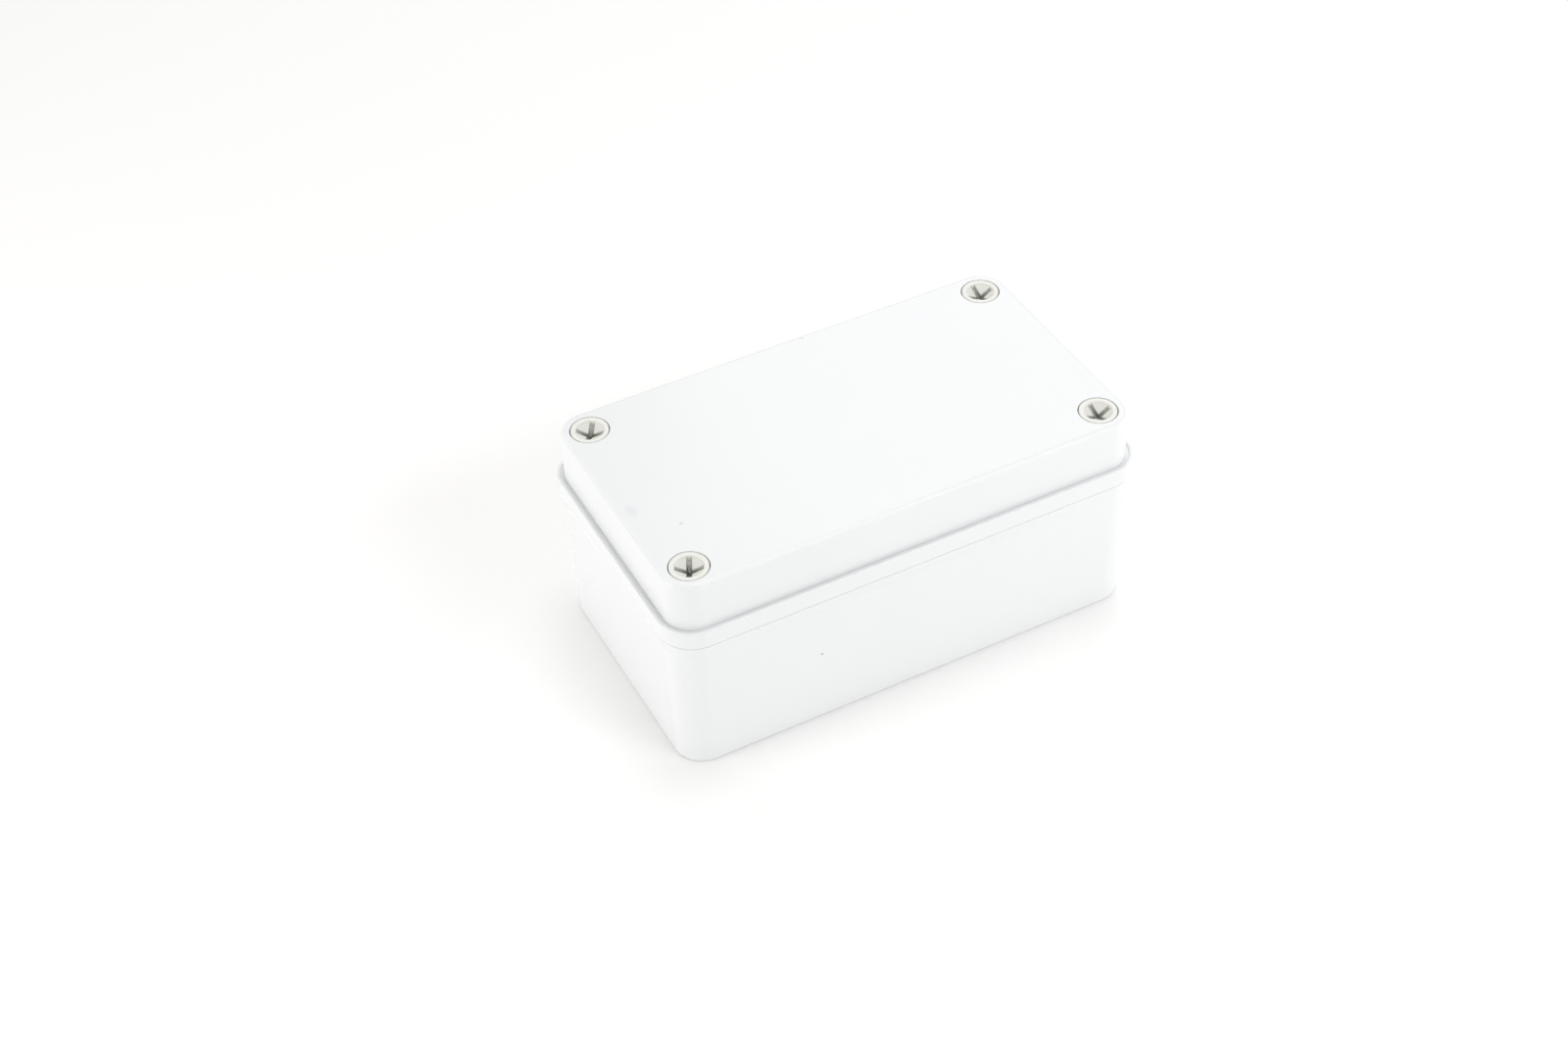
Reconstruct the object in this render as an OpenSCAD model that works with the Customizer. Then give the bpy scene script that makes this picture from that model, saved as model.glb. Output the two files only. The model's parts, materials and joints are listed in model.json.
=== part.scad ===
// Screw-lid junction box in moulded plastic: a deep base with a collar, a skirted lid, a seal and
// four lid screws. Millimetres. The origin is at the middle of the underside, with +X along the
// length, +Z up and the front on -Y. Reaches called "out" are measured outwards from the screw axes,
// so every rounded corner of the box is concentric with its screw.

/* [Box] */
// Distance between the lid screws along the length
screw_pitch_x = 150; // [110:1:220]
// Distance between the lid screws across the width
screw_pitch_y = 75; // [60:1:140]
// Overall height, from the underside to the top of the lid
box_h = 79; // [66:0.5:120]

/* [Lid] */
// Reach of the skirt's foot
lid_out = 10.1; // [9.6:0.1:11.5]
// Height of the lid that shows above the collar
lid_show = 17.7; // [14:0.1:22]
// How far the skirt leans in from its foot to its top
lid_draft = 0.35; // [0:0.05:0.8]
// Radius of the rounded top edge
lid_fillet = 1.6; // [0.8:0.1:2.4]
// Thickness of the lid's top
lid_top_t = 3; // [2:0.1:4]
// Thickness of the lip outside the seal channel
lip_t = 1.2; // [0.9:0.1:1.5]
// Thickness of the rib inside the seal channel
rib_t = 1.3; // [0.9:0.1:2]
// Corner radius inside that rib
rib_corner_r = 1.7; // [0.8:0.1:3]

/* [Base] */
// Width of the gutter between the skirt and the collar's rim
gutter_w = 1.4; // [0.8:0.1:2.2]
// Depth of the gutter below the ledge that carries the lid
gutter_d = 0.4; // [0.2:0.1:2.5]
// Thickness of the rim
rim_t = 1; // [0.5:0.1:1.6]
// Height of the rim above the ledge
rim_rise = 0.7; // [0.5:0.1:4]
// Radius of the rim's outer edge
rim_edge_r = 0.4; // [0.1:0.1:0.5]
// Height of the collar's upright band
band_h = 6.6; // [5.2:0.1:9]
// Height of the slope from the band back to the wall
slope_h = 6.1; // [3:0.1:9]
// Shadow step under the band
band_step = 0.25; // [0:0.05:0.5]
// Wall thickness under the collar
base_wall = 3.4; // [2.6:0.1:4]
// How far the wall leans in from the slope to the underside
wall_draft = 0.5; // [0:0.1:1]
// Floor thickness
floor_t = 3.5; // [2.5:0.1:5]
// Radius of the edge round the underside
foot_edge_r = 0.4; // [0.2:0.1:1]

/* [Seal] */
// Thickness of the tongue on the base
tongue_t = 1.2; // [0.9:0.1:1.6]
// Height of the tongue above the ledge
tongue_h = 2.4; // [1.5:0.1:3]
// Clearance between the tongue and the lip
tongue_clear = 0.3; // [0.2:0.05:0.5]
// Width of the gasket
gasket_w = 2.4; // [1.8:0.1:3]
// Height of the gasket when it is pressed
gasket_h = 2.6; // [1.5:0.1:3.5]
// Clearance between the gasket and the sides of its channel
gasket_clear = 0.05; // [0.02:0.01:0.1]

/* [Lid screws] */
// Diameter of the head
head_d = 12.8; // [11.5:0.1:14]
// Clearance round the head in its well
head_clear = 0.35; // [0.3:0.05:0.6]
// Height of the head
head_h = 6.5; // [5.5:0.1:8]
// Depth of the head's top below the lid's top
head_sink = 0.1; // [0:0.05:0.5]
// Diameter of the bowl in the head
bowl_d = 9.9; // [8.5:0.1:10.5]
// Depth of the bowl's steep rim
bowl_rim_d = 0.7; // [0.4:0.1:1]
// How far the steep rim runs in
bowl_rim_in = 0.35; // [0.1:0.05:0.6]
// Depth of the bowl at its middle
bowl_d_mid = 3.2; // [2:0.1:3.6]
// Width of the cross slot
slot_w = 1.85; // [1.2:0.05:2.4]
// Depth of the cross slot at its middle
slot_d = 4.4; // [3.7:0.1:4.8]
// Depth of the cross slot at its ends
slot_end_d = 2.2; // [1.2:0.1:3.6]
// Turn of each cross slot: front left, front right, rear left, rear right
slot_turn = [-26, 3, -35, 3]; // [-45:1:45]
// Diameter of the neck that the lid's shelf holds
neck_d = 6.6; // [5:0.1:7]
// Clearance round the neck
neck_clear = 0.4; // [0.3:0.05:0.5]
// Thickness of the shelf under the head
shelf_t = 2.5; // [1.8:0.1:3]
// Outer diameter of the thread
thread_d = 8.4; // [7.8:0.1:8.8]
// Clearance round the thread in the lid and the base
thread_clear = 0.3; // [0.25:0.05:0.5]
// Reach of the thread below the ledge
thread_reach = 14; // [8:0.5:24]
// Length of the thread's tapered tip
tip_h = 1.6; // [0.8:0.1:2.4]

/* [Columns and pillars] */
// Wall of the screw columns in the base
column_wall = 3; // [2.6:0.1:4]
// Thickness of the web at the foot of each column
web_t = 5; // [4:0.1:8]
// Diameter of the wall-fixing holes through the webs
fixing_d = 4.5; // [3:0.1:6]
// Distance of the plate pillars in from the screw axes along the length
pillar_in_x = 15; // [13:0.5:30]
// Distance of the plate pillars in from the screw axes across the width
pillar_in_y = 7.5; // [5:0.5:14]
// Diameter of the plate pillars
pillar_d = 8; // [6:0.1:9]
// Height of the plate pillars above the floor
pillar_h = 6; // [3:0.5:12]
// Diameter of the pilot holes in the pillars
pilot_d = 3.2; // [2:0.1:4]
// Depth of the pilot holes
pilot_deep = 7; // [3:0.5:8]

/* [Hidden] */
$fn = 96;

white = [0.95, 0.955, 0.965];
cream = [0.93, 0.925, 0.88];
grey = [0.23, 0.24, 0.25];

// Overshoot of cutting tools past the faces that they open
over = 1;

// Corners of the screw rectangle in turning order, and the four screws by name order
corners = [[1, 1], [-1, 1], [-1, -1], [1, -1]];
screw_at = [[-1, -1], [1, -1], [-1, 1], [1, 1]];
half_x = screw_pitch_x / 2;
half_y = screw_pitch_y / 2;

// Levels
rim_z = box_h - lid_show;
ledge_z = rim_z - rim_rise;
gutter_z = ledge_z - gutter_d;
band_z = rim_z - band_h;
slope_z = band_z - slope_h;
tongue_z = ledge_z + tongue_h;
channel_z = tongue_z + gasket_h;
seat_z = box_h - head_sink - head_h;
shelf_z = seat_z - shelf_t;
tip_z = ledge_z - thread_reach;

// Reaches from the screw axes
lid_top_out = lid_out - lid_draft;
rim_in_out = lid_out + gutter_w;
collar_out = rim_in_out + rim_t;
channel_out = lid_out - lip_t;
tongue_out = channel_out - tongue_clear;
cavity_out = tongue_out - tongue_t;
channel_in_out = channel_out - gasket_w - 2 * gasket_clear;
hollow_out = channel_in_out - rib_t;
wall_out = cavity_out + base_wall;
foot_out = wall_out - wall_draft;

// Round sizes at the screws
well_r = head_d / 2 + head_clear;
shaft_r = thread_d / 2 + thread_clear;
shelf_hole_r = neck_d / 2 + neck_clear;
column_r = shaft_r + column_wall;
bowl_floor_r = bowl_d / 2 - bowl_rim_in;

// Corner radius of the cavity where a wall turns into a column
cavity_corner_r = rib_corner_r + cavity_out - hollow_out;

// Sweeps an upright profile, x outwards and y upwards, round the screw rectangle
module around_box() {
    for (i = [0:3]) {
        len = i % 2 == 0 ? screw_pitch_y : screw_pitch_x;
        reach = i % 2 == 0 ? half_x : half_y;
        translate([corners[i].x * half_x, corners[i].y * half_y, 0])
            rotate(90 * i) rotate_extrude(angle = 90) children();
        rotate(90 * i) translate([reach, len / 2, 0])
            rotate([90, 0, 0]) linear_extrude(len) children();
    }
}

// Block inside the screw rectangle, between two levels
module core(low, high) {
    translate([-half_x, -half_y, low]) cube([screw_pitch_x, screw_pitch_y, high - low]);
}

// Puts a shape on every screw axis
module at_screws() {
    for (c = corners) translate([c.x * half_x, c.y * half_y, 0]) children();
}

// Plan of one screw column with the two hollow corners that lead into it, for a wall line at reach out
module column_plan(out) {
    inwards = cavity_out - out;
    column_out_r = column_r + inwards;
    corner_r = cavity_corner_r - inwards;
    turn_out = cavity_out - cavity_corner_r;
    turn_back = sqrt(pow(column_r + cavity_corner_r, 2) - pow(turn_out, 2));
    past = out + over;
    circle(column_out_r);
    difference() {
        polygon([
            [0, 0], [-turn_back, turn_out], [-turn_back, past],
            [past, past], [past, -turn_back], [turn_out, -turn_back]
        ]);
        translate([-turn_back, turn_out]) circle(corner_r);
        translate([turn_out, -turn_back]) circle(corner_r);
    }
}

// Plan of the space inside a wall line at reach out, which passes inside the screw columns
module seal_plan(out) {
    difference() {
        square([screw_pitch_x + 2 * out, screw_pitch_y + 2 * out], center = true);
        for (c = corners)
            translate([c.x * half_x, c.y * half_y])
                mirror([c.x < 0 ? 1 : 0, 0]) mirror([0, c.y < 0 ? 1 : 0]) column_plan(out);
    }
}

// Upright profile of the base from the screw axis to its outside
module base_profile() {
    polygon([
        [0, 0], [foot_out - foot_edge_r, 0], [foot_out - foot_edge_r, foot_edge_r],
        [foot_out, foot_edge_r], [wall_out, slope_z], [collar_out - band_step, band_z],
        [collar_out, band_z], [collar_out, rim_z - rim_edge_r],
        [collar_out - rim_edge_r, rim_z - rim_edge_r], [collar_out - rim_edge_r, rim_z],
        [rim_in_out, rim_z], [rim_in_out, gutter_z], [lid_out, gutter_z],
        [lid_out, ledge_z], [0, ledge_z]
    ]);
    translate([foot_out - foot_edge_r, foot_edge_r]) circle(foot_edge_r);
    translate([collar_out - rim_edge_r, rim_z - rim_edge_r]) circle(rim_edge_r);
}

// Upright profile of the lid from the screw axis to its outside
module lid_profile() {
    fillet_z = box_h - lid_fillet;
    polygon([[0, ledge_z], [lid_out, ledge_z], [lid_top_out, fillet_z], [0, fillet_z]]);
    translate([0, fillet_z]) square([lid_top_out - lid_fillet, lid_fillet]);
    translate([lid_top_out - lid_fillet, fillet_z]) circle(lid_fillet);
}

// Pillars on the floor for a mounting plate
module at_pillars() {
    for (c = corners)
        translate([c.x * (half_x - pillar_in_x), c.y * (half_y - pillar_in_y), 0]) children();
}

// Deep tub with collar, ledge, sealing tongue, screw columns and plate pillars
module base() {
    pillar_z = floor_t + pillar_h;
    color(white) difference() {
        union() {
            difference() {
                union() {
                    around_box() base_profile();
                    core(0, ledge_z);
                    translate([0, 0, ledge_z - over])
                        linear_extrude(tongue_h + over) seal_plan(tongue_out);
                }
                translate([0, 0, floor_t]) linear_extrude(box_h) seal_plan(cavity_out);
            }
            at_pillars() translate([0, 0, floor_t - over]) cylinder(d = pillar_d, h = pillar_h + over);
        }
        at_screws() translate([0, 0, web_t]) cylinder(r = shaft_r, h = box_h);
        at_screws() translate([0, 0, -over]) cylinder(d = fixing_d, h = web_t + 2 * over);
        at_pillars() translate([0, 0, pillar_z - pilot_deep])
            cylinder(d = pilot_d, h = pilot_deep + over);
    }
}

// Cover with a skirt, a seal channel under its edge and a stepped well for each screw
module lid() {
    color(white) difference() {
        union() {
            around_box() lid_profile();
            core(ledge_z, box_h);
        }
        translate([0, 0, ledge_z - over])
            linear_extrude(box_h - lid_top_t - ledge_z + over) seal_plan(hollow_out);
        translate([0, 0, ledge_z - over]) linear_extrude(channel_z - ledge_z + over) difference() {
            seal_plan(channel_out);
            seal_plan(channel_in_out);
        }
        at_screws() {
            translate([0, 0, seat_z]) cylinder(r = well_r, h = head_h + head_sink + over);
            translate([0, 0, shelf_z - over]) cylinder(r = shelf_hole_r, h = shelf_t + 2 * over);
            translate([0, 0, ledge_z - over]) cylinder(r = shaft_r, h = shelf_z - ledge_z + over);
        }
    }
}

// Soft ring that fills the top of the lid's channel
module lid_gasket() {
    color(grey) translate([0, 0, tongue_z]) linear_extrude(gasket_h) difference() {
        seal_plan(channel_out - gasket_clear);
        seal_plan(channel_in_out + gasket_clear);
    }
}

// Upright half profile of a lid screw, from its tip to the rim of the bowl
module screw_profile() {
    top_z = box_h - head_sink;
    tip_r = thread_d / 2 - tip_h;
    polygon([
        [0, tip_z], [tip_r, tip_z], [thread_d / 2, tip_z + tip_h],
        [thread_d / 2, shelf_z - thread_clear], [neck_d / 2, shelf_z - thread_clear],
        [neck_d / 2, seat_z], [head_d / 2, seat_z], [head_d / 2, top_z],
        [bowl_d / 2, top_z], [bowl_floor_r, top_z - bowl_rim_d], [0, top_z - bowl_d_mid]
    ]);
}

// Upright outline of one slot of the cross, whose floor rises from the middle to both ends
module slot_profile() {
    polygon([
        [-bowl_floor_r, over], [-bowl_floor_r, -slot_end_d], [0, -slot_d],
        [bowl_floor_r, -slot_end_d], [bowl_floor_r, over]
    ]);
}

// Captive screw with a round head, a bowl and a cross slot, by its place in the name order
module lid_screw(i) {
    color(cream) translate([screw_at[i].x * half_x, screw_at[i].y * half_y, 0]) difference() {
        rotate_extrude() screw_profile();
        for (turn = [0, 90])
            translate([0, 0, box_h - head_sink]) rotate([90, 0, slot_turn[i] + turn])
                linear_extrude(slot_w, center = true) slot_profile();
    }
}

module lid_screw_front_left() { lid_screw(0); }
module lid_screw_front_right() { lid_screw(1); }
module lid_screw_rear_left() { lid_screw(2); }
module lid_screw_rear_right() { lid_screw(3); }

base();
lid();
lid_gasket();
lid_screw_front_left();
lid_screw_front_right();
lid_screw_rear_left();
lid_screw_rear_right();
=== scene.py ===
import json
import math

import bmesh
import bpy
from mathutils import Matrix, Vector


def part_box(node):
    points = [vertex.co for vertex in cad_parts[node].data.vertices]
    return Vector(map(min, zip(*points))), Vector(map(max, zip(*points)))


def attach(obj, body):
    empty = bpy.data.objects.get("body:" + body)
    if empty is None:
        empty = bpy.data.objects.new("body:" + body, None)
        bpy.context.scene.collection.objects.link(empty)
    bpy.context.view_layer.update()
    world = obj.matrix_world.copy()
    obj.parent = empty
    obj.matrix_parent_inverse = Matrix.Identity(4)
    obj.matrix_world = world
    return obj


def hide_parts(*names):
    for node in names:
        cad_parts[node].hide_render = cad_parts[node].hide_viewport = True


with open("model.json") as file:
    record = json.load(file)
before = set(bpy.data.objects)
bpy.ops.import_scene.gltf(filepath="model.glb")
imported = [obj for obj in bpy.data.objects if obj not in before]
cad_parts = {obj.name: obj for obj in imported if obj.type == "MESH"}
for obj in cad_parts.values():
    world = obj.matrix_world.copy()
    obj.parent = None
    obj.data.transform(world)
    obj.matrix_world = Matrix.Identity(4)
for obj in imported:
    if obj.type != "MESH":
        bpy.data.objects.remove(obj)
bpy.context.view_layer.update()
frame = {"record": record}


# Base: the deep tub that is screwed to a wall, injection-moulded in one piece in white ABS. The
# mould gives it a collar with a thin rim round its mouth, and inside, four screw columns in the
# corners, a tongue that presses the seal, and four low pillars that carry a mounting plate.

# Sizes here and below are in millimetres, and make_piece turns each finished mesh into metres
per_metre = 1000
mm = 1 / per_metre


def box_in_mm(node):
    """The lowest and highest corners of a node of the frame, in millimetres."""
    return [corner * per_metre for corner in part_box(node)]


base_high = box_in_mm("base")[1]
lid_low, lid_high = box_in_mm("lid")
mounts = {mount["name"]: mount for mount in frame["record"]["mounts"]}
fixing = mounts["wall_fixing"]["dims"]
plate = mounts["plate_pillars"]["dims"]
screw_x = fixing["spacing_x_mm"] / 2
screw_y = fixing["spacing_y_mm"] / 2
pillar_x = plate["spacing_x_mm"] / 2
pillar_y = plate["spacing_y_mm"] / 2
corner_signs = ((1, 1), (-1, 1), (-1, -1), (1, -1))

# Levels, from the underside up
gutter_d = 0.05
rim_rise = 0.7
pilot_d = 7.0
floor_z = 3.5
web_z = 5.0
pillar_z = mounts["plate_pillars"]["pos_m"][2] * per_metre
pilot_z = pillar_z - pilot_d
slope_z = 48.6
band_z = 54.7
ledge_z = lid_low.z
gutter_z = ledge_z - gutter_d
rim_z = ledge_z + rim_rise
tongue_z = base_high.z

# Reaches outwards from the screw axes, which are the centres of the rounded corners
rim_t = 1.15
foot_out = 10.3
wall_out = 10.8
collar_out = base_high.x - screw_x
rim_in_out = collar_out - rim_t
lid_out = lid_high.x - screw_x
tongue_out = 8.6
cavity_out = 7.4

# The step under the band, and the notch that makes its shadow line
band_step = 0.25
notch_in = 1.2
notch_h = 0.45

# Round sizes at the screw columns and the pillars
column_r = 7.5
cavity_corner_r = 4.0
shaft_r = 4.5
fixing_r = fixing["hole_r_mm"]
pillar_r = 4.0
pilot_r = plate["hole_r_mm"]

# Radii of the moulded edges
foot_edge_r = 0.8
slope_foot_r = 1.5
notch_edge_r = 0.05
rim_edge_r = 0.4
edge_r = 0.3
mouth_edge_r = 0.2
floor_edge_r = 1.0
pillar_foot_r = 0.6

# How far a profile runs on into the flat face that closes it
wide_lap = 2.0
ledge_lap = 0.6
shaft_lap = 0.5
pillar_lap = 1.0

# Points closer than this are one point, and edges that turn by more than this stay crisp
merge_gap = 0.0005
crisp_angle = 38


def add_node(tree, kind, inputs=None, **settings):
    """One node of a tree, with its settings, and its inputs linked or set by name or place."""
    node = tree.nodes.new(kind)
    for name, value in settings.items():
        setattr(node, name, value)
    for name, value in (inputs or {}).items():
        if isinstance(value, bpy.types.NodeSocket):
            tree.links.new(value, node.inputs[name])
        else:
            node.inputs[name].default_value = value
    return node


def worked_out(tree, operation, first, second=0.0):
    """A number worked out from one or two others inside a tree."""
    return add_node(tree, "ShaderNodeMath", {0: first, 1: second}, operation=operation).outputs[0]


def start_tree(name, sizes):
    """An empty Geometry Nodes tree with a line as its input, named sizes and a material."""
    tree = bpy.data.node_groups.new(name, "GeometryNodeTree")
    tree.interface.new_socket("Line", in_out="INPUT", socket_type="NodeSocketGeometry")
    for label, kind in sizes.items():
        tree.interface.new_socket(label, in_out="INPUT", socket_type="NodeSocket" + kind)
    tree.interface.new_socket("Finish", in_out="INPUT", socket_type="NodeSocketMaterial")
    tree.interface.new_socket("Piece", in_out="OUTPUT", socket_type="NodeSocketGeometry")
    return tree, add_node(tree, "NodeGroupInput").outputs


def end_tree(tree, made, finish):
    """Closes a tree with real geometry that carries its material."""
    real = add_node(tree, "GeometryNodeRealizeInstances", {"Geometry": made})
    painted = add_node(tree, "GeometryNodeSetMaterial", {0: real.outputs[0], "Material": finish})
    add_node(tree, "NodeGroupOutput", {0: painted.outputs[0]})


def grow(tree, points, closed, values):
    """Runs a tree on a line of points and returns the result as a plain mesh."""
    line = bpy.data.meshes.new("line")
    last = len(points) if closed else len(points) - 1
    edges = [(i, (i + 1) % len(points)) for i in range(last)]
    line.from_pydata([(point[0], point[1], 0.0) for point in points], edges, [])
    seed = bpy.data.objects.new("seed", line)
    bpy.context.scene.collection.objects.link(seed)
    modifier = seed.modifiers.new("grow", "NODES")
    modifier.node_group = tree
    for socket in tree.interface.items_tree:
        if socket.in_out == "INPUT" and socket.name in values:
            modifier[socket.identifier] = values[socket.name]
    depsgraph = bpy.context.evaluated_depsgraph_get()
    mesh = bpy.data.meshes.new_from_object(seed.evaluated_get(depsgraph))
    seed.modifiers.remove(modifier)
    bpy.data.objects.remove(seed)
    return mesh


def arc(centre, radius, start, sweep, steps):
    """Points along an arc, with its angles in degrees."""
    angles = [math.radians(start + sweep * i / steps) for i in range(steps + 1)]
    return [(centre[0] + radius * math.cos(a), centre[1] + radius * math.sin(a)) for a in angles]


def round_corners(corners, steps=6):
    """A line through (x, y, radius) corners, each rounded to its radius."""
    line = []
    for i, (x, y, radius) in enumerate(corners):
        here = Vector((x, y))
        if not radius:
            line.append((x, y))
            continue
        back = (Vector(corners[i - 1][:2]) - here).normalized()
        onward = (Vector(corners[(i + 1) % len(corners)][:2]) - here).normalized()
        half = back.angle(onward) / 2
        middle = here + (back + onward).normalized() * (radius / math.sin(half))
        spoke = here + back * (radius / math.tan(half)) - middle
        side = 1 if back.cross(onward) < 0 else -1
        for step in range(steps + 1):
            turn = Matrix.Rotation(side * (math.pi - 2 * half) * step / steps, 2)
            line.append(tuple(middle + turn @ spoke))
    return line


def seal_line(out):
    """The line of the seal in plan at a reach: along the walls and inside the screw columns."""
    corner_steps = 12
    column_steps = 24
    inwards = cavity_out - out
    corner_r = cavity_corner_r - inwards
    turn_out = cavity_out - cavity_corner_r
    turn_back = math.sqrt((column_r + cavity_corner_r) ** 2 - turn_out ** 2)
    lean = math.degrees(math.atan2(turn_out, turn_back))
    line = []
    for i, (side_x, side_y) in enumerate(corner_signs):
        start = 90 * i
        quarter = Matrix.Rotation(math.radians(start), 2)
        axis = Vector((side_x * screw_x, side_y * screw_y))
        into = axis + quarter @ Vector((turn_out, -turn_back))
        away = axis + quarter @ Vector((-turn_back, turn_out))
        bend = arc(axis, column_r + inwards, start - 90 + lean, -90 - 2 * lean, column_steps)
        line += arc(into, corner_r, start, 90 + lean, corner_steps)
        line += bend[1:-1]
        line += arc(away, corner_r, start - lean, 90 + lean, corner_steps)
    return line


def ring_at(x, y):
    """The plan of a round shape at a place, as a function of its radius."""
    ring_steps = 64
    return lambda radius: arc((x, y), radius, 0, 360, ring_steps)[:-1]


def stack(shape, plan, line):
    """Walls through plan outlines of the (size, level) pairs of a line, one above the other."""
    loops = [[shape.verts.new((x, y, z)) for x, y in plan(size)] for size, z in line]
    for low, high in zip(loops, loops[1:]):
        for i in range(len(low)):
            j = (i + 1) % len(low)
            shape.faces.new((low[i], low[j], high[j], high[i]))


def close_level(shape, level):
    """Fills the flat face between all the open edges at a level."""
    bmesh.ops.remove_doubles(shape, verts=shape.verts, dist=merge_gap)
    edges = [
        edge for edge in shape.edges
        if edge.is_boundary and all(abs(vert.co.z - level) < merge_gap for vert in edge.verts)
    ]
    bmesh.ops.triangle_fill(shape, use_beauty=True, edges=edges)


def make_piece(name, shape, finish):
    """A finished piece in metres, with its faces outwards and its flat faces shaded flat."""
    bmesh.ops.remove_doubles(shape, verts=shape.verts, dist=merge_gap)
    bmesh.ops.recalc_face_normals(shape, faces=shape.faces)
    bmesh.ops.scale(shape, vec=(mm, mm, mm), verts=shape.verts)
    mesh = bpy.data.meshes.new(name)
    shape.to_mesh(mesh)
    shape.free()
    mesh.materials.clear()
    mesh.materials.append(finish)
    mesh.shade_smooth()
    mesh.set_sharp_from_angle(angle=math.radians(crisp_angle))
    piece = bpy.data.objects.new(name, mesh)
    bpy.context.scene.collection.objects.link(piece)
    weighted = piece.modifiers.new("flat_faces_first", "WEIGHTED_NORMAL")
    weighted.keep_sharp = True
    depsgraph = bpy.context.evaluated_depsgraph_get()
    piece.data = bpy.data.meshes.new_from_object(piece.evaluated_get(depsgraph))
    piece.data.name = name
    piece.modifiers.remove(weighted)
    return piece


def start_finish(name):
    """A new material, with its tree, its shader and the place on the piece that it reads."""
    finish = bpy.data.materials.new(name)
    finish.use_nodes = True
    tree = finish.node_tree
    place = add_node(tree, "ShaderNodeTexCoord").outputs["Object"]
    return finish, tree, tree.nodes["Principled BSDF"], place


def noise(tree, place, scale, detail):
    """A cloudy pattern through the piece, with its scale in lumps to the metre."""
    inputs = {"Vector": place, "Scale": scale, "Detail": detail}
    return add_node(tree, "ShaderNodeTexNoise", inputs).outputs["Fac"]


def mixed(tree, share, first, second):
    """The colour that lies between two others at a share."""
    inputs = {"Factor": share, "A": first, "B": second}
    return add_node(tree, "ShaderNodeMix", inputs, data_type="RGBA").outputs["Result"]


def ranged(tree, value, start, end, low, high, ease="LINEAR"):
    """A number that goes from low to high as a value goes from its start to its end."""
    return add_node(tree, "ShaderNodeMapRange", {
        "Value": value, "From Min": start, "From Max": end, "To Min": low, "To Max": high,
    }, interpolation_type=ease).outputs["Result"]


def end_finish(tree, shader, tone, roughness, grain, strength, height):
    """Closes a material with its colour, its roughness and its grain, in millimetres high."""
    skin = add_node(tree, "ShaderNodeBump", {
        "Height": grain, "Strength": strength, "Distance": mm * height,
    })
    tree.links.new(tone, shader.inputs["Base Color"])
    tree.links.new(roughness, shader.inputs["Roughness"])
    tree.links.new(skin.outputs["Normal"], shader.inputs["Normal"])


# White ABS, cool and satin: a fine moulded grain, faint cloudy unevenness, and the few specks and
# the smudge that the box has picked up
white_abs, tree, shader, place = start_finish("white_abs")
cloud = noise(tree, place, scale=28.0, detail=3.0)
tone = mixed(tree, cloud, (0.880, 0.893, 0.897, 1.0), (0.900, 0.911, 0.914, 1.0))

# Each mark is a soft-edged blot: its place and half widths in millimetres, its turn in plan in
# degrees, its colour and how much of it covers the plastic
marks = (
    ((-35.2, -48.1, 29.4), (0.42, 1.0, 0.32), 0.0, (0.05, 0.05, 0.05, 1.0), 0.75),
    ((-68.6, -18.9, 79.0), (0.75, 0.6, 1.0), 0.0, (0.25, 0.24, 0.28, 1.0), 0.22),
    ((8.4, 45.3, 79.0), (0.9, 0.6, 1.0), 0.0, (0.30, 0.32, 0.30, 1.0), 0.18),
    ((-79.8, -5.8, 79.0), (1.6, 3.2, 1.0), 3.0, (0.42, 0.45, 0.52, 1.0), 0.12),
)
blot_core = 0.5
blot_end = 1.3
for centre, half_widths, turn, colour, cover in marks:
    on_mark = add_node(tree, "ShaderNodeMapping", {
        "Vector": place, "Location": [mm * size for size in centre],
        "Rotation": (0.0, 0.0, math.radians(turn)), "Scale": [mm * size for size in half_widths],
    }, vector_type="TEXTURE")
    reach = add_node(tree, "ShaderNodeVectorMath", {0: on_mark.outputs[0]}, operation="LENGTH")
    share = ranged(tree, reach.outputs["Value"], blot_end, blot_core, 0.0, cover, ease="SMOOTHSTEP")
    tone = mixed(tree, share, tone, colour)
grain = noise(tree, place, scale=1500.0, detail=2.0)
sheen = ranged(tree, grain, start=0.3, end=0.7, low=0.15, high=0.22)
end_finish(tree, shader, tone, sheen, grain, strength=0.25, height=0.02)
shader.inputs["IOR"].default_value = 1.5

# The skin of the walls is one upright profile, carried round the box by Geometry Nodes
wall_tree, given = start_tree("wall_round_the_box", {
    "Length between screws": "Float", "Width between screws": "Float",
    "Corner reach": "Float", "Corner steps": "Int",
})
both = worked_out(wall_tree, "MULTIPLY", given["Corner reach"], 2.0)
path = add_node(wall_tree, "GeometryNodeCurvePrimitiveQuadrilateral", {
    "Width": worked_out(wall_tree, "ADD", given["Length between screws"], both),
    "Height": worked_out(wall_tree, "ADD", given["Width between screws"], both),
})
path = add_node(wall_tree, "GeometryNodeFilletCurve", {
    "Curve": path.outputs[0], "Count": given["Corner steps"], "Radius": given["Corner reach"],
}, mode="POLY")
path = add_node(wall_tree, "GeometryNodeSetCurveNormal", {"Curve": path.outputs[0]}, mode="Z_UP")
profile = add_node(wall_tree, "GeometryNodeMeshToCurve", {"Mesh": given["Line"]})
wall = add_node(wall_tree, "GeometryNodeCurveToMesh", {
    "Curve": path.outputs[0], "Profile Curve": profile.outputs[0],
})
end_tree(wall_tree, wall.outputs[0], given["Finish"])


def wall_round_the_box(line):
    """The skin that an upright (reach, level) profile leaves when it goes round the box."""
    reach = 10.0
    swept = [(out - reach, -z) for out, z in line]
    return grow(wall_tree, swept, False, {
        "Length between screws": 2 * screw_x, "Width between screws": 2 * screw_y,
        "Corner reach": reach, "Corner steps": 24, "Finish": white_abs,
    })


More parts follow.
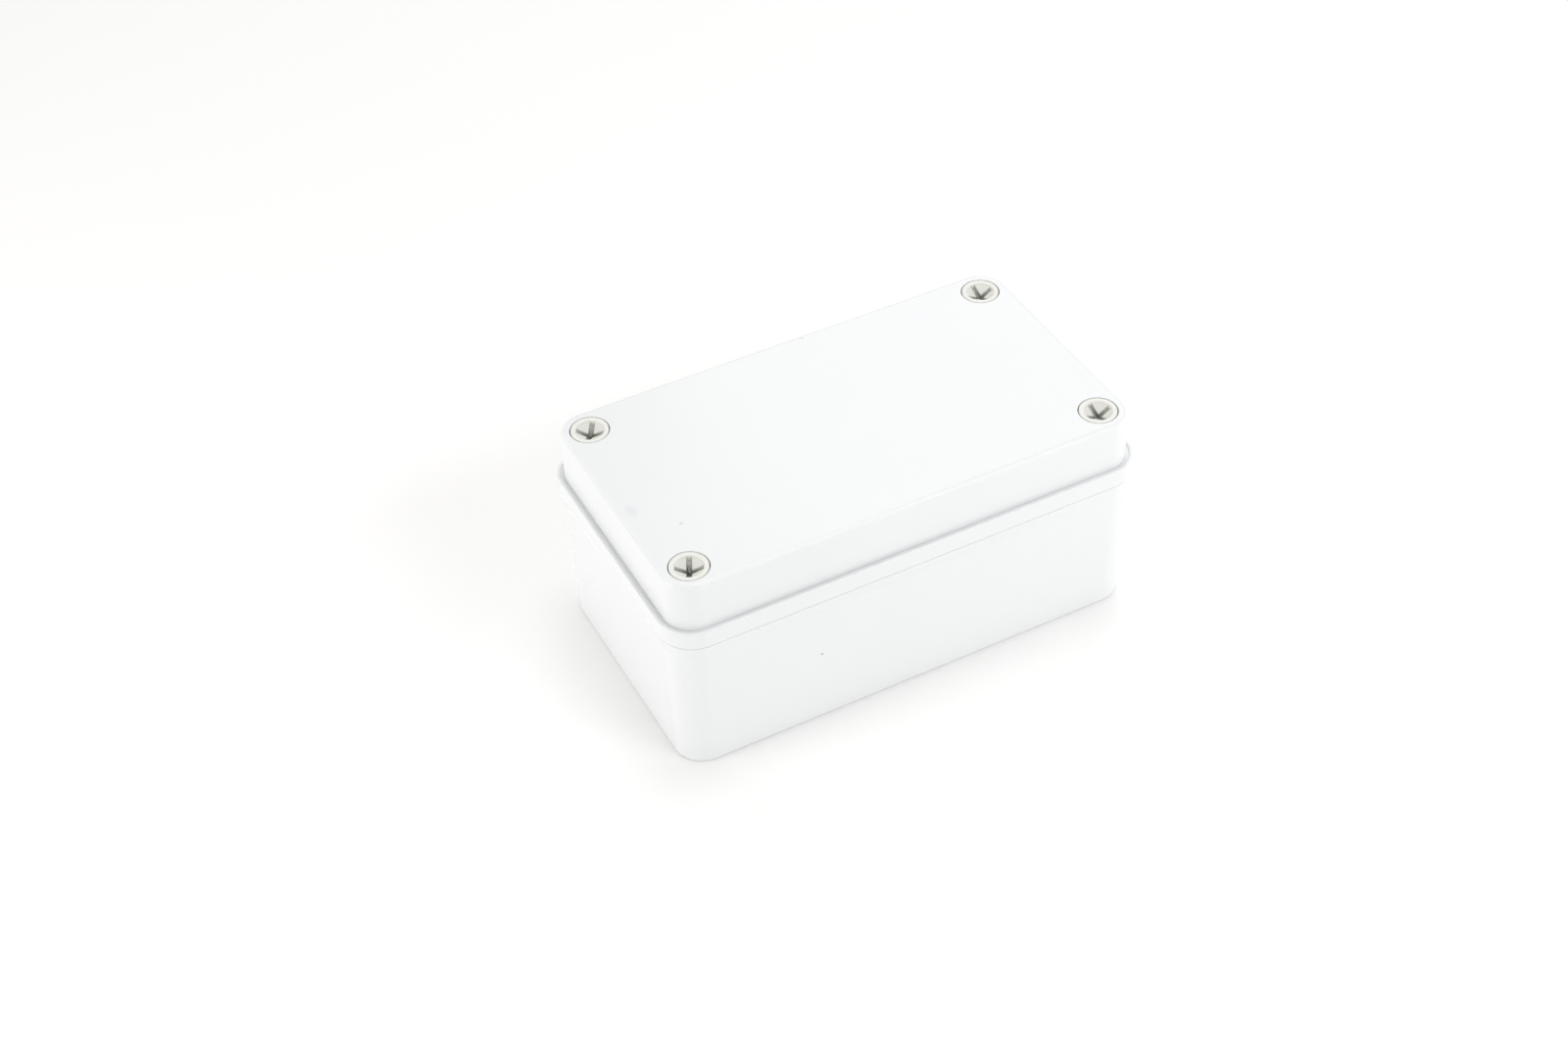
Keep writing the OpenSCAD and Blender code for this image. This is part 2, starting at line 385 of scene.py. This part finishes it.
shape = bmesh.new()
shape.from_mesh(wall_round_the_box(round_corners([
    (foot_out - wide_lap, 0.0, 0),
    (foot_out, 0.0, foot_edge_r),
    (wall_out, slope_z, slope_foot_r),
    (collar_out - band_step, band_z - notch_h, notch_edge_r),
    (collar_out - band_step - notch_in, band_z, notch_edge_r),
    (collar_out, band_z, edge_r),
    (collar_out, rim_z, rim_edge_r),
    (rim_in_out, rim_z, rim_edge_r),
    (rim_in_out, gutter_z, edge_r),
    (lid_out, gutter_z, 0),
    (lid_out, ledge_z, 0),
    (lid_out - ledge_lap, ledge_z, 0),
])))
stack(shape, seal_line, round_corners([
    (tongue_out, ledge_z, 0),
    (tongue_out, tongue_z, edge_r),
    (cavity_out, tongue_z, edge_r),
    (cavity_out, floor_z, floor_edge_r),
    (cavity_out - wide_lap, floor_z, 0),
]))
for side_x, side_y in corner_signs:
    stack(shape, ring_at(side_x * screw_x, side_y * screw_y), round_corners([
        (fixing_r, 0.0, 0),
        (fixing_r, web_z, 0),
        (shaft_r, web_z, 0),
        (shaft_r, ledge_z, mouth_edge_r),
        (shaft_r + shaft_lap, ledge_z, 0),
    ]))
    stack(shape, ring_at(side_x * pillar_x, side_y * pillar_y), round_corners([
        (pillar_r + pillar_lap, floor_z, 0),
        (pillar_r, floor_z, pillar_foot_r),
        (pillar_r, pillar_z, edge_r),
        (pilot_r, pillar_z, mouth_edge_r),
        (pilot_r, pilot_z, 0),
    ]))
for level in (0.0, ledge_z, floor_z, pilot_z):
    close_level(shape, level)
base = make_piece("base_tub", shape, white_abs)
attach(base, "base")
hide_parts("base")


# Seal: a soft grey rubber ring, cut from an extruded strip and pushed into the channel under the
# lid. It runs along the walls and inside the screw columns, so the screws stay outside the seal.
seal_low, seal_high = box_in_mm("lid_gasket")
seal_w = 2.4
seal_h = seal_high.z - seal_low.z
seal_mid_z = (seal_low.z + seal_high.z) / 2
seal_out = seal_high.x - screw_x - seal_w / 2
seal_edge_r = 0.45

grey_rubber, tree, shader, place = start_finish("grey_rubber")
pores = noise(tree, place, scale=2200.0, detail=3.0)
tone = mixed(tree, pores, (0.036, 0.038, 0.042, 1.0), (0.062, 0.065, 0.070, 1.0))
dull = ranged(tree, pores, start=0.0, end=1.0, low=0.65, high=0.85)
end_finish(tree, shader, tone, dull, pores, strength=0.5, height=0.05)

seal_tree, given = start_tree("seal_strip", {
    "Strip width": "Float", "Strip height": "Float", "Edge radius": "Float", "Middle level": "Float",
})
path = add_node(seal_tree, "GeometryNodeMeshToCurve", {"Mesh": given["Line"]})
path = add_node(seal_tree, "GeometryNodeSetCurveNormal", {"Curve": path.outputs[0]}, mode="Z_UP")
section = add_node(seal_tree, "GeometryNodeCurvePrimitiveQuadrilateral", {
    "Width": given["Strip width"], "Height": given["Strip height"],
})
section = add_node(seal_tree, "GeometryNodeFilletCurve", {
    "Curve": section.outputs[0], "Count": 4, "Radius": given["Edge radius"],
}, mode="POLY")
strip = add_node(seal_tree, "GeometryNodeCurveToMesh", {
    "Curve": path.outputs[0], "Profile Curve": section.outputs[0],
})
lift = add_node(seal_tree, "ShaderNodeCombineXYZ", {"Z": given["Middle level"]})
strip = add_node(seal_tree, "GeometryNodeTransform", {
    "Geometry": strip.outputs[0], "Translation": lift.outputs[0],
})
end_tree(seal_tree, strip.outputs[0], given["Finish"])

shape = bmesh.new()
shape.from_mesh(grow(seal_tree, seal_line(seal_out), True, {
    "Strip width": seal_w, "Strip height": seal_h, "Edge radius": seal_edge_r,
    "Middle level": seal_mid_z, "Finish": grey_rubber,
}))
seal = make_piece("seal_ring", shape, grey_rubber)
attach(seal, "lid")
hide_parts("lid_gasket")


# Lid: the shallow cover, moulded in the same white ABS. Its skirt drops inside the rim of the base,
# a channel under its edge holds the seal, and a stepped well in each corner takes a screw.
lid_top_t = 3.0
top_z = lid_high.z
ceiling_z = top_z - lid_top_t
channel_z = seal_high.z
seat_z = 72.4
shelf_z = 69.9
lid_top_out = 9.72
lid_edge_r = 1.6
channel_out = 8.9
channel_in_out = 6.4
hollow_out = 5.1
well_r = 6.75
shelf_hole_r = 3.7
fine_edge_r = 0.1
well_lap = 0.4

shape = bmesh.new()
shape.from_mesh(wall_round_the_box(round_corners([
    (lid_out - ledge_lap, ledge_z, 0),
    (lid_out, ledge_z, edge_r),
    (lid_top_out, top_z, lid_edge_r),
    (lid_top_out - wide_lap, top_z, 0),
], steps=10)))
stack(shape, seal_line, round_corners([
    (channel_out, ledge_z, 0),
    (channel_out, channel_z, fine_edge_r),
    (channel_in_out, channel_z, fine_edge_r),
    (channel_in_out, ledge_z, edge_r),
    (hollow_out, ledge_z, edge_r),
    (hollow_out, ceiling_z, floor_edge_r),
    (hollow_out - wide_lap, ceiling_z, 0),
]))
for side_x, side_y in corner_signs:
    stack(shape, ring_at(side_x * screw_x, side_y * screw_y), round_corners([
        (well_r + well_lap, top_z, 0),
        (well_r, top_z, mouth_edge_r),
        (well_r, seat_z, mouth_edge_r),
        (shelf_hole_r, seat_z, fine_edge_r),
        (shelf_hole_r, shelf_z, fine_edge_r),
        (shaft_r, shelf_z, mouth_edge_r),
        (shaft_r, ledge_z, mouth_edge_r),
        (shaft_r + shaft_lap, ledge_z, 0),
    ]))
for level in (top_z, ledge_z, ceiling_z):
    close_level(shape, level)
lid = make_piece("lid_cover", shape, white_abs)
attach(lid, "lid")
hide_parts("lid")


# Lid screws: four captive screws moulded in cream nylon. Each has a flush round head with a bowl and
# a cross slot, a thin neck that the lid's shelf holds, and a coarse thread that bites into the base.
slot_turn = {"front_left": -26.0, "front_right": 3.0, "rear_left": -35.0, "rear_right": 3.0}
screw_low, screw_high = box_in_mm("lid_screw_front_left")
head_z = screw_high.z
tip_z = screw_low.z
head_r = 6.4
bowl_r = 4.95
bowl_floor_r = 4.6
bowl_rim_d = 0.7
bowl_mid_d = 3.2
bowl_edge_r = 0.25
slot_w = 1.85
slot_d = 4.4
slot_end_d = 2.2
slot_over = 1.0
neck_r = 3.3
neck_slope_h = 0.3
core_r = 3.5
tip_h = 1.6
screw_edge_r = 0.4

# The thread's ridge, with its widths as shares of the pitch
thread_r = 4.2
thread_pitch = 2.2
thread_turns = 9.0
thread_start_h = 0.4
thread_sink = 0.02
ridge_foot_share = 0.72
ridge_top_share = 0.16

cream_nylon, tree, shader, place = start_finish("cream_nylon")
cloud = noise(tree, place, scale=120.0, detail=3.0)
tone = mixed(tree, cloud, (0.862, 0.862, 0.805, 1.0), (0.880, 0.880, 0.830, 1.0))

# Painted shade: the bowls are greyed a little and the slots painted dark, most where they are deepest
shade_colour = (0.045, 0.044, 0.036, 1.0)
shade_margin = 0.2
spot = add_node(tree, "ShaderNodeSeparateXYZ", {0: place}).outputs
off_axis = add_node(tree, "ShaderNodeCombineXYZ", {
    "X": worked_out(tree, "SUBTRACT", worked_out(tree, "ABSOLUTE", spot["X"]), mm * screw_x),
    "Y": worked_out(tree, "SUBTRACT", worked_out(tree, "ABSOLUTE", spot["Y"]), mm * screw_y),
})
off_axis = add_node(tree, "ShaderNodeVectorMath", {0: off_axis.outputs[0]}, operation="LENGTH")
from_axis = off_axis.outputs["Value"]
depth = worked_out(tree, "SUBTRACT", mm * head_z, spot["Z"])
bowl_fall = worked_out(tree, "MULTIPLY", from_axis, (bowl_mid_d - bowl_rim_d) / bowl_floor_r)
bowl_depth = worked_out(tree, "SUBTRACT", mm * bowl_mid_d, bowl_fall)
within_bowl = worked_out(tree, "LESS_THAN", from_axis, mm * bowl_r)
above_core = worked_out(tree, "LESS_THAN", depth, mm * (slot_d + shade_margin))
in_bowl = worked_out(tree, "MULTIPLY", within_bowl, above_core)
bowl_shade = ranged(tree, depth, start=mm * 0.2, end=mm * 0.7, low=0.0, high=0.10, ease="SMOOTHSTEP")
past_bowl = worked_out(tree, "SUBTRACT", depth, bowl_depth)
in_slot = ranged(tree, past_bowl, start=mm * 0.1, end=mm * 0.7, low=0.0, high=1.0, ease="SMOOTHSTEP")
by_depth = ranged(tree, depth, start=mm * 1.6, end=mm * 4.2, low=0.06, high=0.88)
slot_shade = worked_out(tree, "MULTIPLY", in_slot, by_depth)
bowl_and_slot_shade = worked_out(tree, "MULTIPLY", in_bowl, worked_out(tree, "MAXIMUM", bowl_shade, slot_shade))
# Mixes the painted shade of the bowls and slots into the nylon's colour
tone = mixed(tree, bowl_and_slot_shade, tone, shade_colour)
grain = noise(tree, place, scale=1800.0, detail=2.0)
sheen = ranged(tree, grain, start=0.3, end=0.7, low=0.36, high=0.48)
end_finish(tree, shader, tone, sheen, grain, strength=0.2, height=0.02)
shader.inputs["IOR"].default_value = 1.53

screw_tree, given = start_tree("lid_screw", {
    "Turning radius": "Float", "Slot width": "Float", "Slot length": "Float", "Slot top": "Float",
    "Slot bottom": "Float", "Slot end rise": "Float", "Slot turn": "Float",
    "Core radius": "Float", "Thread depth": "Float", "Thread pitch": "Float", "Thread turns": "Float",
    "Thread foot": "Float", "Axis": "Vector",
})
wheel = add_node(screw_tree, "GeometryNodeCurvePrimitiveCircle", {
    "Resolution": 96, "Radius": given["Turning radius"],
})
wheel = add_node(screw_tree, "GeometryNodeSetCurveNormal", {"Curve": wheel.outputs[0]}, mode="Z_UP")
half_section = add_node(screw_tree, "GeometryNodeMeshToCurve", {"Mesh": given["Line"]})
core = add_node(screw_tree, "GeometryNodeCurveToMesh", {
    "Curve": wheel.outputs[0], "Profile Curve": half_section.outputs[0],
})
core = add_node(screw_tree, "GeometryNodeMergeByDistance", {
    "Geometry": core.outputs[0], "Distance": 0.001,
})

# Its thread is a low ridge wound up the core, running out at both ends
helix = add_node(screw_tree, "GeometryNodeCurveSpiral", {
    "Resolution": 56, "Rotations": given["Thread turns"], "Start Radius": given["Core radius"],
    "End Radius": given["Core radius"],
    "Height": worked_out(screw_tree, "MULTIPLY", given["Thread pitch"], given["Thread turns"]),
})
helix = add_node(screw_tree, "GeometryNodeSetCurveNormal", {"Curve": helix.outputs[0]}, mode="Z_UP")
ridge = add_node(screw_tree, "GeometryNodeCurvePrimitiveQuadrilateral", {
    "Bottom Width": worked_out(screw_tree, "MULTIPLY", given["Thread pitch"], ridge_foot_share),
    "Top Width": worked_out(screw_tree, "MULTIPLY", given["Thread pitch"], ridge_top_share),
    "Height": worked_out(screw_tree, "MULTIPLY", given["Thread depth"], 2.0),
    "Offset": 0.0,
}, mode="TRAPEZOID")
ridge = add_node(screw_tree, "GeometryNodeTransform", {
    "Geometry": ridge.outputs[0], "Rotation": (0.0, 0.0, -math.pi / 2),
})
along = add_node(screw_tree, "GeometryNodeSplineParameter").outputs["Factor"]
from_end = worked_out(screw_tree, "PINGPONG", along, 0.5)
fade = ranged(screw_tree, from_end, start=0.0, end=0.05, low=0.12, high=1.0)
thread = add_node(screw_tree, "GeometryNodeCurveToMesh", {
    "Curve": helix.outputs[0], "Profile Curve": ridge.outputs[0], "Scale": fade, "Fill Caps": True,
})
lift = add_node(screw_tree, "ShaderNodeCombineXYZ", {"Z": given["Thread foot"]})
thread = add_node(screw_tree, "GeometryNodeTransform", {
    "Geometry": thread.outputs[0], "Translation": lift.outputs[0],
})
threaded = add_node(screw_tree, "GeometryNodeMeshBoolean", operation="UNION", solver="EXACT")
screw_tree.links.new(core.outputs[0], threaded.inputs["Mesh 2"])
screw_tree.links.new(thread.outputs[0], threaded.inputs["Mesh 2"])

# Its cross slot is two bars cut out, each with a floor that rises towards the ends
bar_size = add_node(screw_tree, "ShaderNodeCombineXYZ", {
    "X": given["Slot length"], "Y": given["Slot width"],
    "Z": worked_out(screw_tree, "SUBTRACT", given["Slot top"], given["Slot bottom"]),
})
bar = add_node(screw_tree, "GeometryNodeMeshCube", {"Size": bar_size.outputs[0], "Vertices X": 3})
corner_at = add_node(screw_tree, "GeometryNodeInputPosition").outputs[0]
corner_at = add_node(screw_tree, "ShaderNodeSeparateXYZ", {0: corner_at}).outputs
half_length = worked_out(screw_tree, "MULTIPLY", given["Slot length"], 0.5)
from_middle = worked_out(screw_tree, "ABSOLUTE", corner_at["X"])
end_share = worked_out(screw_tree, "DIVIDE", from_middle, half_length)
end_rise = add_node(screw_tree, "ShaderNodeCombineXYZ", {
    "Z": worked_out(screw_tree, "MULTIPLY", end_share, given["Slot end rise"]),
})
bar = add_node(screw_tree, "GeometryNodeSetPosition", {
    "Geometry": bar.outputs[0], "Offset": end_rise.outputs[0],
    "Selection": worked_out(screw_tree, "LESS_THAN", corner_at["Z"], 0.0),
})
both_levels = worked_out(screw_tree, "ADD", given["Slot top"], given["Slot bottom"])
lift = add_node(screw_tree, "ShaderNodeCombineXYZ", {
    "Z": worked_out(screw_tree, "MULTIPLY", both_levels, 0.5),
})
crossed = add_node(screw_tree, "GeometryNodeMeshBoolean", {
    "Mesh 1": threaded.outputs[0],
}, operation="DIFFERENCE", solver="EXACT")
for quarter in (0.0, math.pi / 2):
    turn = add_node(screw_tree, "ShaderNodeCombineXYZ", {
        "Z": worked_out(screw_tree, "ADD", given["Slot turn"], quarter),
    })
    placed = add_node(screw_tree, "GeometryNodeTransform", {
        "Geometry": bar.outputs[0], "Translation": lift.outputs[0], "Rotation": turn.outputs[0],
    })
    screw_tree.links.new(placed.outputs[0], crossed.inputs["Mesh 2"])
stood = add_node(screw_tree, "GeometryNodeTransform", {
    "Geometry": crossed.outputs[0], "Translation": given["Axis"],
})
end_tree(screw_tree, stood.outputs[0], given["Finish"])

turning_r = 2.0
half_line = round_corners([
    (0.0, tip_z, 0),
    (core_r - tip_h, tip_z, screw_edge_r),
    (core_r, tip_z + tip_h, screw_edge_r),
    (core_r, shelf_z - 2 * neck_slope_h, 0),
    (neck_r, shelf_z - neck_slope_h, 0),
    (neck_r, seat_z, mouth_edge_r),
    (head_r, seat_z, screw_edge_r),
    (head_r, head_z, mouth_edge_r),
    (bowl_r, head_z, mouth_edge_r),
    (bowl_floor_r, head_z - bowl_rim_d, bowl_edge_r),
    (0.0, head_z - bowl_mid_d, 0),
], steps=4)
for corner, degrees in slot_turn.items():
    node = "lid_screw_" + corner
    low, high = box_in_mm(node)
    shape = bmesh.new()
    shape.from_mesh(grow(screw_tree, [(r - turning_r, -z) for r, z in half_line], False, {
        "Turning radius": turning_r,
        "Slot width": slot_w, "Slot length": 2 * bowl_floor_r, "Slot top": head_z + slot_over,
        "Slot bottom": head_z - slot_d, "Slot end rise": slot_d - slot_end_d,
        "Slot turn": math.radians(degrees),
        "Core radius": core_r - thread_sink, "Thread depth": thread_r - core_r,
        "Thread pitch": thread_pitch, "Thread turns": thread_turns,
        "Thread foot": tip_z + tip_h + thread_start_h,
        "Axis": ((low.x + high.x) / 2, (low.y + high.y) / 2, 0.0),
        "Finish": cream_nylon,
    }))
    screw = make_piece("screw_" + corner, shape, cream_nylon)
    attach(screw, "screw_" + corner)
    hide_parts(node)


# Studio: a flat sheet of pale paper under the box, a dim white surround, six soft lamps and the
# camera at the photograph's angle. The paper looks whiter to the camera, and keeps the shadows.
# Places here are in metres.
floor_half = 3.0
floor_level = -0.0002
paper_glow = 0.02
paper, tree, shader, place = start_finish("pale_paper")
fibre = noise(tree, place, scale=400.0, detail=2.0)
tone = mixed(tree, fibre, (0.955, 0.955, 0.955, 1.0), (0.965, 0.965, 0.965, 1.0))
looks = add_node(tree, "ShaderNodeLightPath").outputs
seen = looks["Is Camera Ray"]
for kind in ("Is Glossy Ray", "Is Transmission Ray"):
    seen = worked_out(tree, "MAXIMUM", seen, looks[kind])
tone = mixed(tree, seen, tone, (1.0, 0.994, 0.988, 1.0))
tree.links.new(tone, shader.inputs["Base Color"])
shader.inputs["Emission Color"].default_value = (1.0, 1.0, 1.0, 1.0)
tree.links.new(worked_out(tree, "MULTIPLY", seen, paper_glow), shader.inputs["Emission Strength"])
shader.inputs["Roughness"].default_value = 0.9
shader.inputs["Specular IOR Level"].default_value = 0.0

scene = bpy.context.scene
floor_mesh = bpy.data.meshes.new("floor")
floor_mesh.from_pydata(
    [(side_x * floor_half, side_y * floor_half, floor_level) for side_x, side_y in corner_signs],
    [], [(0, 1, 2, 3)],
)
floor_mesh.materials.append(paper)
floor = bpy.data.objects.new("floor", floor_mesh)
scene.collection.objects.link(floor)

world = bpy.data.worlds.new("studio")
world.use_nodes = True
surround = world.node_tree.nodes["Background"]
surround.inputs["Color"].default_value = (1.0, 1.0, 1.0, 1.0)
surround.inputs["Strength"].default_value = 0.625
scene.world = world


def direction(azimuth, elevation):
    """The way out from the part, turned in degrees from the front to the right, and up."""
    turn = math.radians(azimuth)
    rise = math.radians(elevation)
    return Vector((math.sin(turn) * math.cos(rise), -math.cos(turn) * math.cos(rise), math.sin(rise)))


def soft_box(name, azimuth, elevation, distance, width, height, power, colour):
    """An oval soft box that faces the middle of the part and that the camera doesn't see."""
    part_middle = Vector((0.0, 0.0, 0.04))
    towards = direction(azimuth, elevation)
    lamp = bpy.data.lights.new(name, "AREA")
    lamp.shape = "ELLIPSE"
    lamp.size = width
    lamp.size_y = height
    lamp.energy = power
    lamp.color = colour
    stand = bpy.data.objects.new(name, lamp)
    stand.location = towards * distance + part_middle
    stand.rotation_euler = towards.to_track_quat("Z", "Y").to_euler()
    stand.visible_camera = False
    scene.collection.objects.link(stand)


# Each lamp has its azimuth and elevation in degrees, its distance, width and height in metres, its
# power in watts and its colour
neutral = (1.0, 1.0, 1.0)
warm = (1.0, 0.98, 0.95)
cool = (0.97, 0.99, 1.0)
soft_box("overhead", 109, 79, 1.5, 0.5, 0.5, 2.65, neutral)
soft_box("left_low", 265, 14, 0.8, 0.5, 0.5, 1.62, warm)
soft_box("front_right_low", 46, 10, 0.62, 1.2, 0.22, 0.78, neutral)
soft_box("front_right_key", 28, 41, 1.2, 0.6, 0.2, 2.15, neutral)
soft_box("back_right", 143, 38, 1.4, 0.72, 0.72, 1.7, cool)
soft_box("back_high", 190, 62, 1.4, 0.6, 0.6, 1.2, cool)

camera_azimuth = -25.815
camera_elevation = 42.505
camera_roll = -2.660
camera = bpy.data.cameras.new("camera")
camera.sensor_width = 36.0
camera.lens = 54.555
camera.clip_start = 0.01
tripod = bpy.data.objects.new("camera", camera)
level_view = direction(camera_azimuth, camera_elevation).to_track_quat("Z", "Y")
tilt = Matrix.Rotation(math.radians(camera_roll), 3, "Z").to_quaternion()
tripod.rotation_euler = (level_view @ tilt).to_euler()
tripod.location = (-0.280204, -0.530582, 0.583766)
scene.collection.objects.link(tripod)
scene.camera = tripod

scene.view_settings.view_transform = "Standard"
